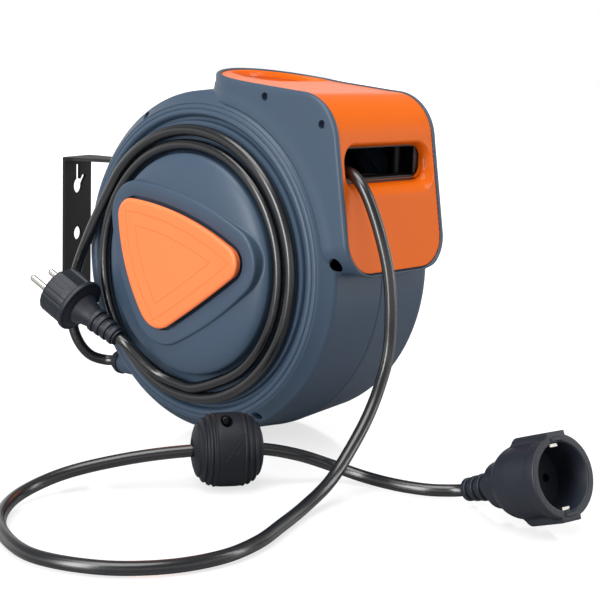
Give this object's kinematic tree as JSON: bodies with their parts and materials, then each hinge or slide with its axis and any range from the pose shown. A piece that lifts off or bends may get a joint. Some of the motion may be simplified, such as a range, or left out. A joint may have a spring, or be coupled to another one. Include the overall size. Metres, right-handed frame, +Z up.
{
  "type": "extension cord reel",
  "caption": "Automatic extension cord reel: round drum housing on a swivelling wall bracket, roller outlet, hand grip, supply lead with plug, output cord with stop ball and socket.",
  "frame": {"origin": "axis of the wall plate's centre hole at the plate's back face", "axes": "+X along the spool axis towards the rear shell, +Y towards the wall, -Y towards the cable outlet, +Z up; the drum is square to the frame and the bracket stands turned 15 degrees about its vertical pin at rest"},
  "size_m": [0.3799, 0.4989, 0.2617],
  "materials": {
    "body": "satin moulded plastic, blue grey",
    "orange": "satin moulded plastic, orange",
    "black_steel": "black powder coat",
    "zinc": "bright zinc plate",
    "black_plastic": "fine matt moulded plastic",
    "rubber": "satin cable jacket and moulded-on fittings",
    "grey_plastic": "light grey acetal",
    "cream_plastic": "cream insulator",
    "brass": "plain",
    "carbon": "carbon brush",
    "spring_steel": "blued spring steel"
  },
  "bodies": {
    "bracket": {"wall_bracket": "black_steel", "swivel_pin": "zinc", "swivel_nut": "zinc", "swivel_washers": "grey_plastic"},
    "housing": {"front_shell": "body", "rear_shell": "body", "outlet_insert": "orange", "badge": "orange", "housing_screws": "zinc", "swivel_boss": "body", "axle": "zinc", "axle_spacers": "zinc", "roller_frame": "black_plastic", "roller_pins": "zinc", "pawl_pin": "zinc", "brush_carrier": "black_plastic", "brushes": "carbon", "lead_inlet": "body", "lead_gland": "rubber", "lead_start": "rubber", "lead_coil": "rubber", "lead_end": "rubber", "plug_relief": "rubber", "plug_body": "rubber", "plug_pins": "zinc", "plug_face": "black_plastic", "output_cord": "rubber", "ball_left": "black_plastic", "ball_right": "black_plastic", "ball_screws": "zinc", "socket_relief": "rubber", "socket_body": "rubber", "socket_insert": "black_plastic", "socket_clips": "zinc"},
    "spool": {"spool_hub": "black_plastic", "near_flange": "black_plastic", "far_flange": "black_plastic", "cable_winding": "rubber", "ratchet": "zinc", "mainspring": "spring_steel", "spring_cover": "black_plastic", "slip_ring_core": "cream_plastic", "slip_rings": "brass"},
    "pawl": {"pawl": "zinc"},
    "roller_top": {"roller_top": "black_plastic"},
    "roller_bottom": {"roller_bottom": "black_plastic"},
    "roller_left": {"roller_left": "grey_plastic"},
    "roller_right": {"roller_right": "grey_plastic"}
  },
  "joints": [
    {"name": "swivel", "type": "hinge", "parent": "bracket", "child": "housing", "pos_m": [0.01191, -0.04443, 0], "axis": [0, 0, 1], "range_deg": [-45, 75]},
    {"name": "spool_spin", "type": "hinge", "parent": "housing", "child": "spool", "pos_m": [0.01191, -0.17943, 0], "axis": [1, 0, 0], "continuous": true},
    {"name": "pawl_swing", "type": "hinge", "parent": "housing", "child": "pawl", "pos_m": [-0.02409, -0.17943, -0.08], "axis": [1, 0, 0], "range_deg": [0, 14]},
    {"name": "roller_top_spin", "type": "hinge", "parent": "housing", "child": "roller_top", "pos_m": [0.01191, -0.28833, 0.091], "axis": [1, 0, 0], "continuous": true},
    {"name": "roller_bottom_spin", "type": "hinge", "parent": "housing", "child": "roller_bottom", "pos_m": [0.01191, -0.28833, 0.064], "axis": [1, 0, 0], "continuous": true},
    {"name": "roller_left_spin", "type": "hinge", "parent": "housing", "child": "roller_left", "pos_m": [-0.02904, -0.27933, 0.0775], "axis": [0, 0, 1], "continuous": true},
    {"name": "roller_right_spin", "type": "hinge", "parent": "housing", "child": "roller_right", "pos_m": [0.05286, -0.27933, 0.0775], "axis": [0, 0, 1], "continuous": true}
  ]
}
